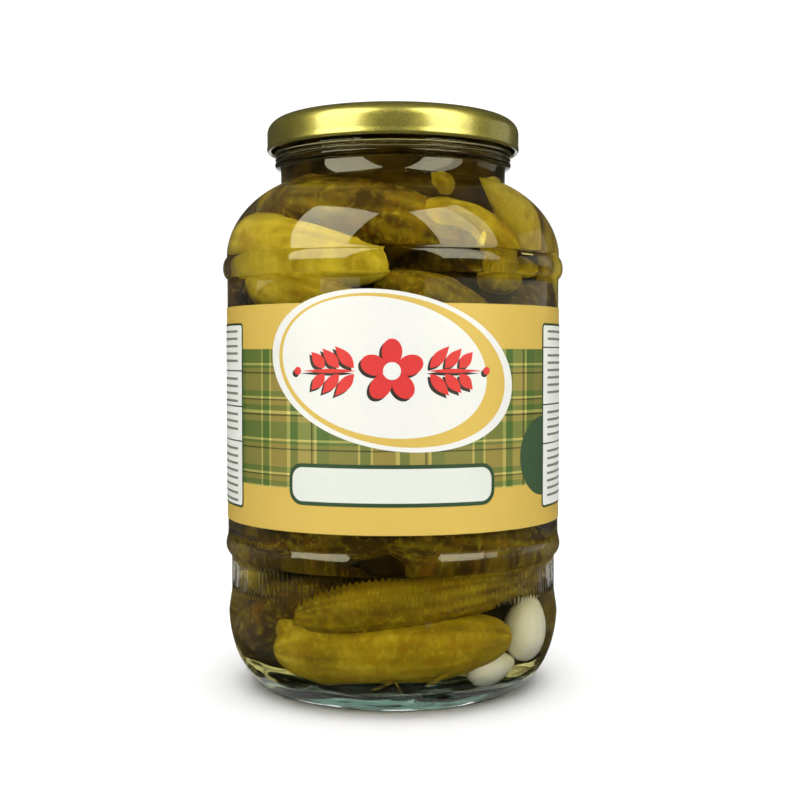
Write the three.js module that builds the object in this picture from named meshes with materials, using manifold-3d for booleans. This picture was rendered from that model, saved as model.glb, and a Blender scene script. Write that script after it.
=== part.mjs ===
// Pickle jar: a clear twist-off glass jar shut by a lacquered metal lid, with a wrap-round paper
// label, and gherkins and garlic inside. Sizes are millimetres and +Z is up. The origin is on the
// jar's axis at the foot, and the front of the label faces -Y.

import * as THREE from 'three';
import { mergeVertices } from 'three/addons/utils/BufferGeometryUtils.js';
import Module from 'manifold-3d';

const wasm = await Module();
wasm.setup();

// Facets round the axis, the same for the jar, the lid and the label
const FACETS = 44;

// Jar, outside
const FOOT_INNER_R = 36;
const FOOT_OUTER_R = 41;
const PUSH_UP = 4;
const HEEL_R = 56.4;
const HEEL_TOP_Z = 25.5;
const WAIST_R = 54.5;
const WAIST_LOW_Z = 33.6;
const WAIST_HIGH_Z = 44.6;
const BODY_R = 56.6;
const PANEL_LOW_Z = 53.8;
const PANEL_HIGH_Z = 137.8;
const SHOULDER_R = 56.8;
const SHOULDER_Z = 145.2;
const NECK_R = 38.4;
const NECK_LOW_Z = 170;
const NECK_HIGH_Z = 175.4;
const FINISH_R = 39.4;
const FINISH_LOW_Z = 180;
const RIM_Z = 190.3;

// Jar, inside
const WALL = 3.2;
const FLOOR_EDGE_R = 38;
const FLOOR_EDGE_Z = 7.2;
const FLOOR_MIDDLE_Z = 10;
const MOUTH_R = 36;

// Fine upright flutes round the waist
const FLUTE_COUNT = 180;
const FLUTE_CREST_R = 55.4;
const FLUTE_VALLEY_R = 54.8;
const FLUTE_ROOT_R = 53.8;
const FLUTE_LOW_Z = 33.5;
const FLUTE_HIGH_Z = 45;

// Slanted thread ridges on the jar, and the lugs of the lid that catch under them
const LUG_COUNT = 6;
const THREAD_ARC = THREE.MathUtils.degToRad(42);
const THREAD_Z = 185.2;
const THREAD_RISE = 1.6;
const THREAD_R = 39.2;
const THREAD_HEIGHT = 2.2;
const THREAD_DEPTH = 1.7;
const LUG_ARC = THREE.MathUtils.degToRad(14);
const LUG_INNER_R = 40;
const LUG_LOW_Z = 181.5;
const LUG_HIGH_Z = 182.7;

// Lid
const LID_R = 43;
const LID_SHEET = 0.6;
const LID_LOW_Z = 181.1;
const LID_TOP_Z = 192;
const LID_SHOULDER_WIDTH = 5.7;
const LID_SHOULDER_HEIGHT = 4.9;
const LID_RING_INNER_R = 35.8;
const LID_PANEL_R = 34.3;
const LID_PANEL_Z = 190.9;

// Label, with an oval that rises over its top edge at the front
const LABEL_GAP = 0.1;
const LABEL_THICKNESS = 0.25;
const LABEL_LOW_Z = 57.7;
const LABEL_HIGH_Z = 128;
const OVAL_Z = 107.7;
const OVAL_HALF_WIDTH = 38.5;
const OVAL_HALF_HEIGHT = 24;
const OVAL_TILT = THREE.MathUtils.degToRad(-10.5);

// Gherkins and garlic. CLEARANCE is what they keep to the glass and to each other's nodes.
const CLEARANCE = 0.4;
const GHERKIN_RINGS = 5;
const GHERKIN_SIDES = 6;
const CORE_R = 33;
const CORE_LOW_Z = 14;
const CORE_HIGH_Z = 156;

// The gherkins that show at the front. turn is degrees round the axis from the front, + to the
// right; height is the middle's; tilt is degrees, + where it rises to the right; bow bends it
// along the wall; inset holds it back from the glass.
const FRONT_GHERKINS = [
  { turn: 0, height: 20.5, tilt: 3, length: 71.5, girth: 21.5, bow: 3, inset: 0 },
  { turn: 9, height: 34.8, tilt: 8, length: 72, girth: 17, bow: 4, inset: 0 },
  { turn: -56, height: 28, tilt: 30, length: 48, girth: 17, bow: 2, inset: 2 },
  { turn: -46, height: 28, tilt: -50, length: 26, girth: 13, bow: 0, inset: 4 },
  { turn: 34, height: 53, tilt: -3, length: 58, girth: 18, bow: 3, inset: 0 },
  { turn: -31, height: 55, tilt: 4, length: 60, girth: 19, bow: 3, inset: 1 },
  { turn: 84, height: 45, tilt: 12, length: 56, girth: 19, bow: 3, inset: 0 },
  { turn: -38, height: 130.5, tilt: -18, length: 52, girth: 19, bow: 3, inset: 0 },
  { turn: 20, height: 130, tilt: -28, length: 48, girth: 18, bow: 2, inset: 3 },
  { turn: 44, height: 138.5, tilt: 0, length: 17, girth: 14, bow: 0, inset: 0 },
  { turn: -42.5, height: 144, tilt: -9, length: 66, girth: 18.5, bow: 4, inset: 0 },
  { turn: 30, height: 147, tilt: -24, length: 44, girth: 18, bow: 2, inset: 9 },
  { turn: 60, height: 153, tilt: -50, length: 50, girth: 17, bow: 9, inset: 0 },
  { turn: 94, height: 139, tilt: 68, length: 48, girth: 17, bow: 2, inset: 0 },
  { turn: -68, height: 155, tilt: 48, length: 42, girth: 16, bow: 7, inset: 1 },
  { turn: -7, height: 157, tilt: -14, length: 66, girth: 19, bow: 2, inset: 0 },
  { turn: 36, height: 164, tilt: -60, length: 34, girth: 16, bow: 0, inset: 2 },
  { turn: 70, height: 127, tilt: 14, length: 44, girth: 18, bow: 3, inset: 4 },
  { turn: -86, height: 132, tilt: 58, length: 44, girth: 17, bow: 3, inset: 1 },
];

// Rows of gherkins all round, where none of those above lies
const ROW_HEIGHTS = [20, 41, 62, 83, 104, 125, 146];
const ROW_COUNT = 5;
const ROW_LENGTH = 62;
const ROW_GIRTH = 20.5;

const GARLIC_CLOVES = [
  { name: 'garlic_clove_1', turn: 65, height: 24.5, lean: 4, length: 20, width: 15.5 },
  { name: 'garlic_clove_2', turn: 43, height: 14, lean: 76, length: 17, width: 10.5 },
];

function bezier(start, startPull, endPull, end, steps) {
  const corners = [start, startPull, endPull, end].map(([r, z]) => new THREE.Vector2(r, z));
  return new THREE.CubicBezierCurve(...corners).getPoints(steps);
}

function line(...corners) {
  return corners.map(([r, z]) => new THREE.Vector2(r, z));
}

// One outline from several stretches, where each may start on the point that the last ends on
function joined(...stretches) {
  const outline = [];
  for (const point of stretches.flat()) {
    const last = outline[outline.length - 1];
    if (!last || last.distanceTo(point) > 0.001) outline.push(point);
  }
  return outline;
}

// An outline of radius and height turned round the axis, for an outline that goes up its outside
function turned(outline, facets) {
  return new THREE.LatheGeometry(outline, facets).rotateX(Math.PI / 2);
}

function toSolid(geometry) {
  const bare = geometry.clone();
  bare.deleteAttribute('normal');
  bare.deleteAttribute('uv');
  const merged = mergeVertices(bare, 0.0005);
  const triangles = [];
  for (let i = 0; i < merged.index.count; i += 3) {
    const [a, b, c] = [0, 1, 2].map((k) => merged.index.getX(i + k));
    if (a !== b && b !== c && c !== a) triangles.push(a, b, c);
  }
  return new wasm.Manifold(new wasm.Mesh({
    numProp: 3,
    vertProperties: Float32Array.from(merged.attributes.position.array),
    triVerts: Uint32Array.from(triangles),
  }));
}

function toGeometry(solid) {
  const mesh = solid.getMesh();
  const geometry = new THREE.BufferGeometry();
  geometry.setAttribute('position', new THREE.BufferAttribute(mesh.vertProperties, 3));
  geometry.setIndex(new THREE.BufferAttribute(mesh.triVerts, 1));
  geometry.computeVertexNormals();
  return geometry;
}

// Jar

const innerHeel = bezier([BODY_R - WALL - 0.3, 27], [52.8, 14], [47, FLOOR_EDGE_Z + 0.3],
  [FLOOR_EDGE_R, FLOOR_EDGE_Z], 4);

// The inside of the glass from the mouth down to the edge of the floor
const insideWall = joined(
  line([MOUTH_R + 0.6, RIM_Z - 0.8], [MOUTH_R, RIM_Z - 5], [MOUTH_R, NECK_LOW_Z + 0.5]),
  bezier([MOUTH_R, NECK_LOW_Z - 1.2], [45.4, 163.8], [SHOULDER_R - WALL, 155.2],
    [SHOULDER_R - WALL, SHOULDER_Z], 6),
  line([SHOULDER_R - WALL + 0.5, 141.5], [BODY_R - WALL, PANEL_HIGH_Z]),
  line([BODY_R - WALL, PANEL_LOW_Z], [BODY_R - WALL + 0.2, 49.8]),
  line([WAIST_R - 2.4, WAIST_HIGH_Z - 1], [WAIST_R - 2.4, WAIST_LOW_Z + 1]),
  innerHeel,
);

function jarOutline() {
  return joined(
    bezier([0, PUSH_UP], [20, PUSH_UP], [31, PUSH_UP - 0.3], [FOOT_INNER_R, 0], 3),
    bezier([FOOT_OUTER_R, 0], [48.8, 0], [56, 12], [HEEL_R, HEEL_TOP_Z], 5),
    line([HEEL_R - 0.2, 29.6], [WAIST_R, WAIST_LOW_Z], [WAIST_R, WAIST_HIGH_Z]),
    bezier([WAIST_R, WAIST_HIGH_Z], [56.6, 46], [58.2, 50.6], [BODY_R, PANEL_LOW_Z], 4),
    bezier([BODY_R, PANEL_HIGH_Z], [58.6, 139.4], [58.4, 143.8], [SHOULDER_R, SHOULDER_Z], 4),
    bezier([SHOULDER_R, SHOULDER_Z], [SHOULDER_R, 156], [48.6, 165.6], [NECK_R, NECK_LOW_Z], 6),
    bezier([NECK_R, NECK_HIGH_Z], [40.9, 176], [41.2, 179], [FINISH_R, FINISH_LOW_Z], 4),
    line([FINISH_R, RIM_Z - 1], [FINISH_R - 0.8, RIM_Z], [MOUTH_R + 1.3, RIM_Z]),
    insideWall,
    bezier([FLOOR_EDGE_R, FLOOR_EDGE_Z], [30, FLOOR_EDGE_Z], [15, FLOOR_MIDDLE_Z],
      [0, FLOOR_MIDDLE_Z], 3),
  );
}

// A ring with a zigzag outside, let into the glass of the waist
function fluteRing() {
  const crests = new THREE.Shape();
  for (let i = 0; i < 2 * FLUTE_COUNT; i += 1) {
    const radius = i % 2 ? FLUTE_VALLEY_R : FLUTE_CREST_R;
    const angle = (i * Math.PI) / FLUTE_COUNT;
    const [x, y] = [radius * Math.cos(angle), radius * Math.sin(angle)];
    if (i === 0) crests.moveTo(x, y);
    else crests.lineTo(x, y);
  }
  const root = new THREE.Path().absarc(0, 0, FLUTE_ROOT_R, 0, 2 * Math.PI, true);
  crests.holes.push(new THREE.Path(root.getPoints(FACETS / 2)));
  const depth = FLUTE_HIGH_Z - FLUTE_LOW_Z;
  const ring = new THREE.ExtrudeGeometry(crests, { depth, bevelEnabled: false });
  return ring.translate(0, 0, FLUTE_LOW_Z);
}

// A slanted ridge along one stretch of the finish
function threadRidge(index) {
  const start = (index * 2 * Math.PI) / LUG_COUNT;
  const route = [];
  for (let i = 0; i <= 4; i += 1) {
    const angle = start + (THREAD_ARC * i) / 4;
    const z = THREAD_Z + THREAD_RISE * (i / 4 - 0.5);
    route.push(new THREE.Vector3(THREAD_R * Math.cos(angle), THREAD_R * Math.sin(angle), z));
  }
  const section = new THREE.Shape(
    new THREE.Path().absellipse(0, 0, THREAD_DEPTH, THREAD_HEIGHT / 2, 0, 2 * Math.PI).getPoints(3),
  );
  const extrudePath = new THREE.CatmullRomCurve3(route);
  return new THREE.ExtrudeGeometry(section, { steps: 5, bevelEnabled: false, extrudePath });
}

function jarGeometry() {
  let jar = toSolid(turned(jarOutline(), FACETS)).add(toSolid(fluteRing()));
  for (let i = 0; i < LUG_COUNT; i += 1) jar = jar.add(toSolid(threadRidge(i)));
  return toGeometry(jar);
}

// Lid

function lidOutline() {
  const shoulderZ = LID_TOP_Z - LID_SHOULDER_HEIGHT;
  const shoulderR = LID_R - LID_SHOULDER_WIDTH;
  const insideR = LID_R - LID_SHEET;
  const insideZ = LID_TOP_Z - LID_SHEET;
  return joined(
    line([0, LID_PANEL_Z - LID_SHEET], [LID_PANEL_R + 0.3, LID_PANEL_Z - LID_SHEET]),
    line([LID_RING_INNER_R + 0.3, insideZ], [shoulderR, insideZ]),
    bezier([shoulderR, insideZ], [shoulderR + 2.8, insideZ], [insideR, shoulderZ + 2.4],
      [insideR, shoulderZ], 2),
    line([insideR, LID_LOW_Z + 2.2], [LID_R - 1.5, LID_LOW_Z + 1.4]),
    bezier([LID_R - 1.5, LID_LOW_Z + 1.4], [LID_R - 1.5, LID_LOW_Z - 0.4],
      [LID_R + 0.2, LID_LOW_Z - 0.4], [LID_R, LID_LOW_Z + 1.5], 3),
    bezier([LID_R, shoulderZ], [LID_R, shoulderZ + 2.7], [shoulderR + 3.1, LID_TOP_Z],
      [shoulderR, LID_TOP_Z], 3),
    line([LID_RING_INNER_R, LID_TOP_Z], [LID_PANEL_R, LID_PANEL_Z], [0, LID_PANEL_Z]),
  );
}

// A short inward tab of the curled edge
function lug(index) {
  const middle = ((index + 0.5) * 2 * Math.PI) / LUG_COUNT;
  const outerR = LID_R - 0.5;
  const outline = new THREE.Shape();
  outline.absarc(0, 0, outerR, middle - LUG_ARC / 2, middle + LUG_ARC / 2, false);
  outline.absarc(0, 0, LUG_INNER_R, middle + LUG_ARC / 2, middle - LUG_ARC / 2, true);
  const depth = LUG_HIGH_Z - LUG_LOW_Z;
  const tab = new THREE.ExtrudeGeometry(outline, { depth, bevelEnabled: false, curveSegments: 3 });
  return tab.translate(0, 0, LUG_LOW_Z);
}

function lidGeometry() {
  let lid = toSolid(turned(lidOutline(), FACETS));
  for (let i = 0; i < LUG_COUNT; i += 1) lid = lid.add(toSolid(lug(i)));
  return toGeometry(lid);
}

// Label

function labelBand(lowZ, highZ) {
  const innerR = BODY_R + LABEL_GAP;
  const outerR = innerR + LABEL_THICKNESS;
  return turned(line([innerR, lowZ], [outerR, lowZ], [outerR, highZ], [innerR, highZ],
    [innerR, lowZ]), FACETS);
}

// The block that keeps only the oval's top from a second band, at the front
function ovalBlock() {
  const oval = new THREE.Shape();
  oval.absellipse(0, 0, OVAL_HALF_WIDTH, OVAL_HALF_HEIGHT, 0, 2 * Math.PI, false, OVAL_TILT);
  const depth = 2 * BODY_R;
  const block = new THREE.ExtrudeGeometry(oval, { depth, bevelEnabled: false, curveSegments: 20 });
  return block.rotateX(Math.PI / 2).translate(0, -0.3 * BODY_R, OVAL_Z);
}

function labelGeometry() {
  const crest = toSolid(labelBand(LABEL_HIGH_Z - 4, PANEL_HIGH_Z - 3)).intersect(toSolid(ovalBlock()));
  return toGeometry(toSolid(labelBand(LABEL_LOW_Z, LABEL_HIGH_Z)).add(crest));
}

// Contents

function glassInnerR(z) {
  for (let i = 1; i < insideWall.length; i += 1) {
    const [upper, lower] = [insideWall[i - 1], insideWall[i]];
    if (z <= upper.y && z >= lower.y) {
      const share = (z - lower.y) / (upper.y - lower.y);
      return THREE.MathUtils.lerp(lower.x, upper.x, share);
    }
  }
  return FLOOR_EDGE_R;
}

// How far from the axis the middle of a ball may be at a height, clear of the glass
function roomFor(z, radius) {
  let room = Infinity;
  for (let angle = -75; angle <= 75; angle += 15) {
    const a = THREE.MathUtils.degToRad(angle);
    room = Math.min(room, glassInnerR(z + radius * Math.sin(a)) - radius * Math.cos(a));
  }
  return room - CLEARANCE;
}

// Half thickness along a gherkin, for s from -1 at one end to 1 at the other
function gherkinRadius(girth, s) {
  return (girth / 2) * Math.sqrt(Math.max(0, 1 - Math.abs(s) ** 2.6)) * (1 - 0.08 * s);
}

// The line through a gherkin's middle, as a function of s, as near to the glass as it goes
function gherkinLine(gherkin) {
  const turn = THREE.MathUtils.degToRad(gherkin.turn);
  const tilt = THREE.MathUtils.degToRad(gherkin.tilt);
  const outward = new THREE.Vector3(Math.sin(turn), -Math.cos(turn), 0);
  const sideways = new THREE.Vector3(Math.cos(turn), Math.sin(turn), 0);
  const half = gherkin.length / 2;
  let reach = Infinity;
  for (let s = -1; s <= 1; s += 0.125) {
    const z = gherkin.height + half * s * Math.sin(tilt);
    const room = Math.max(0, roomFor(z, gherkinRadius(gherkin.girth, s)));
    const side = half * s * Math.cos(tilt);
    reach = Math.min(reach, Math.sqrt(Math.max(0, room ** 2 - side ** 2)) + gherkin.bow * s ** 2);
  }
  return (s) => outward.clone().multiplyScalar(reach - gherkin.inset - gherkin.bow * s ** 2)
    .addScaledVector(sideways, half * s * Math.cos(tilt))
    .setZ(gherkin.height + half * s * Math.sin(tilt));
}

function gherkinGeometry(gherkin) {
  const at = gherkinLine(gherkin);
  const positions = [];
  const indices = [];
  for (let ring = 0; ring <= GHERKIN_RINGS; ring += 1) {
    const s = -Math.cos((Math.PI * ring) / GHERKIN_RINGS);
    const middle = at(s);
    const along = at(s + 0.01).sub(at(s - 0.01)).normalize();
    const across = new THREE.Vector3(0, 0, 1).cross(along).normalize();
    const over = along.clone().cross(across);
    for (let side = 0; side < GHERKIN_SIDES; side += 1) {
      const angle = (2 * Math.PI * side) / GHERKIN_SIDES;
      const radius = gherkinRadius(gherkin.girth, s);
      const point = middle.clone().addScaledVector(across, radius * Math.cos(angle))
        .addScaledVector(over, radius * Math.sin(angle));
      positions.push(point.x, point.y, point.z);
    }
  }
  for (let ring = 0; ring < GHERKIN_RINGS; ring += 1) {
    for (let side = 0; side < GHERKIN_SIDES; side += 1) {
      const a = ring * GHERKIN_SIDES + side;
      const b = ring * GHERKIN_SIDES + ((side + 1) % GHERKIN_SIDES);
      indices.push(a, b, b + GHERKIN_SIDES, a, b + GHERKIN_SIDES, a + GHERKIN_SIDES);
    }
  }
  const geometry = new THREE.BufferGeometry();
  geometry.setAttribute('position', new THREE.Float32BufferAttribute(positions, 3));
  geometry.setIndex(indices);
  return geometry;
}

// The same number from 0 to 1 for the same pair, in place of a random draw
function chance(row, column) {
  const value = Math.sin(row * 12.9898 + column * 78.233) * 43758.5453;
  return value - Math.floor(value);
}

function rowGherkins() {
  const found = [];
  ROW_HEIGHTS.forEach((height, row) => {
    for (let column = 0; column < ROW_COUNT; column += 1) {
      const turn = ((column + 0.5 * (row % 2)) * 360) / ROW_COUNT + 16 * (chance(row, column) - 0.5);
      const gherkin = {
        turn: ((turn + 180) % 360) - 180,
        height: height + 3 * (chance(row, column + 7) - 0.5),
        tilt: 26 * (chance(row, column + 13) - 0.5),
        length: ROW_LENGTH * (0.85 + 0.3 * chance(row, column + 19)),
        girth: ROW_GIRTH * (0.88 + 0.24 * chance(row, column + 29)),
        bow: 3,
        inset: 0.6,
      };
      const shows = FRONT_GHERKINS.some((front) => Math.abs(front.turn - gherkin.turn) < 44
        && Math.abs(front.height - gherkin.height) < 13);
      if (!shows) found.push(gherkin);
    }
  });
  return found;
}

function coreGeometry() {
  const outline = joined(
    line([0, CORE_LOW_Z], [CORE_R, CORE_LOW_Z], [CORE_R, CORE_HIGH_Z - 14]),
    line([CORE_R - 12, CORE_HIGH_Z], [0, CORE_HIGH_Z]),
  );
  return turned(outline, 12);
}

// A clove: round below, drawn to a point above, a little flat on one side
function cloveGeometry(clove, grow) {
  const half = clove.length / 2 + grow;
  const outline = [];
  for (let i = 0; i <= 8; i += 1) {
    const s = -Math.cos((Math.PI * i) / 8);
    const radius = (clove.width / 2 + grow) * Math.sqrt(1 - s * s) * (1 - 0.28 * s);
    outline.push(new THREE.Vector2(i % 8 ? radius : 0, half * s));
  }
  const geometry = turned(outline, 10).scale(1, 0.86, 1);
  const lean = THREE.MathUtils.degToRad(clove.lean);
  const turn = THREE.MathUtils.degToRad(clove.turn);
  const reach = roomFor(clove.height, clove.width / 2) - 1;
  geometry.rotateY(lean).translate(0, -reach, clove.height);
  return geometry.rotateZ(turn);
}

// The largest shell alone, which fills the hollows that fusing seals and drops loose scraps
function outerShell(solid) {
  const shells = solid.decompose();
  return shells.reduce((best, shell) => (shell.volume() > best.volume() ? shell : best));
}

function heapGeometry() {
  let heap = toSolid(coreGeometry());
  for (const gherkin of [...FRONT_GHERKINS, ...rowGherkins()]) {
    heap = heap.add(toSolid(gherkinGeometry(gherkin)));
  }
  for (const clove of GARLIC_CLOVES) {
    heap = heap.subtract(toSolid(cloveGeometry(clove, CLEARANCE)));
  }
  return toGeometry(outerShell(heap));
}

// The whole

const group = new THREE.Group();

function addMesh(name, geometry, color, roughness, metalness, extra = {}) {
  const material = new THREE.MeshStandardMaterial({ color, roughness, metalness, ...extra });
  const mesh = new THREE.Mesh(geometry, material);
  mesh.name = name;
  group.add(mesh);
}

addMesh('jar', jarGeometry(), 0xdfeee4, 0.05, 0, { transparent: true, opacity: 0.35 });
addMesh('lid', lidGeometry(), 0xb39a48, 0.35, 0.8);
addMesh('label', labelGeometry(), 0xdeb860, 0.5, 0);
addMesh('pickles', heapGeometry(), 0x7d7420, 0.5, 0);
for (const clove of GARLIC_CLOVES) addMesh(clove.name, cloveGeometry(clove, 0), 0xd9d5b4, 0.45, 0);

export default group;
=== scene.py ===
"""The looks of a shut glass jar of gherkins and garlic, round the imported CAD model.

Sizes are worked out in millimetres and each mesh is scaled to metres as it is made.
Angles round the jar, called turn, are counted from the front of the label, + to the right.
"""

import math

import bmesh
import bpy
import numpy as np
from mathutils import Matrix, Vector, noise


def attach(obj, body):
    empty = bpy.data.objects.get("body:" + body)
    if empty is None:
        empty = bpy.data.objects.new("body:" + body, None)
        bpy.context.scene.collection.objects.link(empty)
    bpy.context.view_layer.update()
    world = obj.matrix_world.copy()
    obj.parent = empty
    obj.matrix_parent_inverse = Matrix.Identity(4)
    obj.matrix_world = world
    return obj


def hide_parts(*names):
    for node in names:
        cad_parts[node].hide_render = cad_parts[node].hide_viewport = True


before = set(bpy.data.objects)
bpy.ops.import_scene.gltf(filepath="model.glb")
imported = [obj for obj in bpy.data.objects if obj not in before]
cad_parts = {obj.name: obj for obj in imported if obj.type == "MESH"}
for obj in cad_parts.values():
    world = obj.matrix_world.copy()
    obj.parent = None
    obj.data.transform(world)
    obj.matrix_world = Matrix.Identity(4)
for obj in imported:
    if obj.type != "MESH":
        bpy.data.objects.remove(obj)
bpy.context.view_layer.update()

MM = 0.001
BODY = "root"

# Camera, from the photograph's perspective: 800 pixels wide, axis at pixel 393, horizon at 354
CAMERA_DISTANCE = 445.7
CAMERA_HEIGHT = 112.6
CAMERA_SIDE = 2.4
CAMERA_PITCH = -2.02
LENS = 58.1
SENSOR = 36.0

# Jar, outside, as the CAD model has it
FOOT_INNER_R = 36.0
FOOT_OUTER_R = 41.0
PUSH_UP = 4.0
HEEL_R = 56.4
HEEL_TOP_Z = 25.5
WAIST_R = 55.4
WAIST_LOW_Z = 33.6
WAIST_HIGH_Z = 44.6
BODY_R = 56.6
BEAD_R = 57.3
BEAD_Z = 48.6
PANEL_LOW_Z = 53.8
PANEL_HIGH_Z = 137.8
SHOULDER_R = 56.8
SHOULDER_Z = 145.2
NECK_R = 38.4
NECK_LOW_Z = 170.0
NECK_HIGH_Z = 175.4
FINISH_R = 39.4
RIM_Z = 190.3

# The low ridges on the finish, under the lid: where one ends and the next begins
RIDGE_1_Z = 177.7
RIDGE_2_Z = 179.0
RIDGE_3_Z = 181.7

# Jar, inside
WALL = 3.2
WAIST_INNER_R = 52.1
FLOOR_EDGE_R = 38.0
FLOOR_EDGE_Z = 7.2
FLOOR_MIDDLE_Z = 10.0
MOUTH_R = 36.0

# The waist's flutes; the ridge and its flank are shares of half a flute, and depth and fade are in mm
FLUTE_COUNT = 180
FLUTE_DEPTH = 0.25
FLUTE_RIDGE = 0.35
FLUTE_FLANK = 0.3
FLUTE_FADE = 1.2
FLUTE_RINGS = 20

# Sides of the glass all round, and how many times more the flutes have
GLASS_SIDES = 360
FLUTE_SIDES = 5

GLASS_IOR = 1.5
# The base's green: the glass's own green, with more density than green glass has, as painted shade for the
# shade under the jar
GLASS_GREEN = (0.44, 0.66, 0.58, 1)
GLASS_GREEN_DENSITY = 34.0

# The base's outside is slightly wavy, as pressed glass is, in streaks that run round it
WAVE_TOP_Z = 15.0
WAVE_FADE = 8.0
WAVE_OUT = 0.007
WAVE_UP = 0.25
WAVE_LENGTH = 12.0
WAVE_HEIGHT = 2.5

# Brine: how far it reaches into the glass, and its level, which the lid hides
BRINE_INTO_WALL = 0.15
BRINE_TOP_Z = 185.0
BRINE_IOR = 1.345
BRINE_COLOR = (0.84, 0.77, 0.2, 1)
BRINE_DENSITY = 27.0

# Lid
LID_R = 43.0
LID_SHEET = 0.35
LID_LOW_Z = 181.1
LID_TOP_Z = 192.0
LID_SHOULDER_WIDTH = 5.7
LID_SHOULDER_HEIGHT = 4.9
LID_RING_INNER_R = 35.8
LID_PANEL_R = 34.3
LID_PANEL_Z = 190.9
LUG_COUNT = 6
LUG_ARC = 14.0
LUG_INNER_R = 40.0
LUG_LOW_Z = 181.5
LUG_HIGH_Z = 182.7
LID_SIDES = 240

# Label
PAPER_R = BODY_R + 0.06
PAPER_THICKNESS = 0.12
FILM = 0.03
LABEL_LOW_Z = 57.7
LABEL_HIGH_Z = 128.0
OVAL_Z = 107.7
OVAL_WIDTH = 82.0
OVAL_HEIGHT = 48.0
OVAL_TILT = -10.5
OVERLAP = 3.0
FIBRE_SHADE = 0.95

# The label bends at the edges of flat strips: the number on half the paper, and the width in print
PAPER_STRIPS = 120
STRIP = 1.5

# Between the glass and what lies against it
CLEARANCE = 0.4

# Light; the sky is AMBIENT up to the first height and OVERHEAD from the second on
BOX_LIGHT = 6.0
FRONT_LIGHT = 2.6
INNER_LIGHT = 6.3
WORLD_LIGHT = 1.15
AMBIENT = (0.04, 0.04, 0.04, 1)
OVERHEAD = (2.6, 2.6, 2.6, 1)
AMBIENT_TO = 0.6
OVERHEAD_FROM = 0.96

# Plain colours, in linear values
WARM = (1.0, 0.96, 0.68, 1)
CREAM = (1, 0.98, 0.9, 1)
FLOOR_WHITE = (0.97, 0.97, 0.97, 1)
BLACK = (0, 0, 0, 1)
PURE_WHITE = (1, 1, 1, 1)

# The soft boxes that the glass and the lid mirror, in degrees, metres and shares of BOX_LIGHT
SOFT_BOXES = [
    # name, azimuth, elevation, distance, width, height, strength
    ("box_left", -50, 35, 1.4, 1.12, 1.45, 1.0),
    ("box_right", 47, 35, 1.4, 0.85, 1.45, 1.0),
    ("box_right_edge", 68.5, 35, 1.4, 0.25, 1.45, 0.55),
    ("veil_right", 62, 4.3, 1.5, 2.6, 0.095, 0.12),
    ("strip_left", -62, 5.5, 1.5, 2.6, 0.035, 0.22),
    ("patch_left", -35.5, 4.7, 1.4, 0.62, 0.035, 0.25),
    ("far_right", 112, 12, 1.5, 0.9, 0.6, 0.11),
]

# The box below the floor, as a share of BOX_LIGHT
GLINT = 0.55


def rgb(red, green, blue):
    """A colour given as 0 to 255 on the screen, as Blender's linear values."""
    def linear(value):
        value /= 255
        return value / 12.92 if value <= 0.04045 else ((value + 0.055) / 1.055) ** 2.4
    return (linear(red), linear(green), linear(blue), 1.0)


# Geometry helpers


def bezier(start, start_pull, end_pull, end, steps):
    """Points of a cubic curve, each (radius, height)."""
    t = np.linspace(0, 1, steps + 1)[:, None]
    a, b, c, d = (np.array(p, float) for p in (start, start_pull, end_pull, end))
    return (1 - t) ** 3 * a + 3 * (1 - t) ** 2 * t * b + 3 * (1 - t) * t ** 2 * c + t ** 3 * d


def joined(*stretches):
    """One outline from several stretches, without the points they share."""
    outline = []
    for point in np.concatenate([np.array(s, float).reshape(-1, 2) for s in stretches]):
        if not outline or np.hypot(*(point - outline[-1])) > 0.001:
            outline.append(point)
    return np.array(outline)


def ring(radius, z, sides):
    """A circle of points round the axis, or the one point on it. radius may be an array."""
    if np.max(radius) == 0:
        return np.array([[0.0, 0.0, z]])
    turn = np.linspace(0, 2 * math.pi, sides, endpoint=False)
    return np.stack([radius * np.sin(turn), -radius * np.cos(turn), np.full(sides, z)], axis=1)


def turned(outline, sides):
    """The rings of an outline that is turned round the axis."""
    return [ring(r if r > 0.001 else 0, z, sides) for r, z in outline]


def loft(rings):
    """Faces between rings, each having as many points as the next or a whole number of times more."""
    faces = []
    start = 0
    for low, high in zip(rings, rings[1:]):
        n, m = len(low), len(high)
        top = start + n
        if n == m:
            faces += [(start + i, start + (i + 1) % n, top + (i + 1) % n, top + i) for i in range(n)]
        elif n < m:
            share = m // n
            for i in range(m):
                faces.append((start + i // share, top + (i + 1) % m, top + i))
            if n > 1:
                faces += [(start + i, start + (i + 1) % n, top + (i + 1) * share % m) for i in range(n)]
        else:
            share = n // m
            for i in range(n):
                faces.append((start + i, start + (i + 1) % n, top + i // share))
            if m > 1:
                faces += [(start + (i + 1) * share % n, top + (i + 1) % m, top + i) for i in range(m)]
        start = top
    return np.concatenate(rings), faces


def make_piece(name, points, faces, materials, smooth=True, numbers=None, attributes=None):
    """A mesh piece from points in millimetres, which rides on the jar's one body."""
    mesh = bpy.data.meshes.new(name)
    mesh.from_pydata((np.asarray(points) * MM).tolist(), [], faces)
    for material in materials:
        mesh.materials.append(material)
    if numbers is not None:
        mesh.polygons.foreach_set("material_index", numbers)
    for key, values in (attributes or {}).items():
        mesh.attributes.new(key, "FLOAT", "POINT").data.foreach_set("value", values)
    if smooth:
        mesh.shade_smooth()
    mesh.update()
    piece = bpy.data.objects.new(name, mesh)
    bpy.context.scene.collection.objects.link(piece)
    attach(piece, BODY)
    return piece


# Material helpers


def new_material(name, roughness=0.5, **values):
    """A Principled material, and its tree and shader. values are the shader's own sockets."""
    material = bpy.data.materials.new(name)
    material.use_nodes = True
    tree = material.node_tree
    shader = tree.nodes["Principled BSDF"]
    shader.inputs["Roughness"].default_value = roughness
    for key, value in values.items():
        shader.inputs[key.replace("_", " ")].default_value = value
    return material, tree, shader


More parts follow.
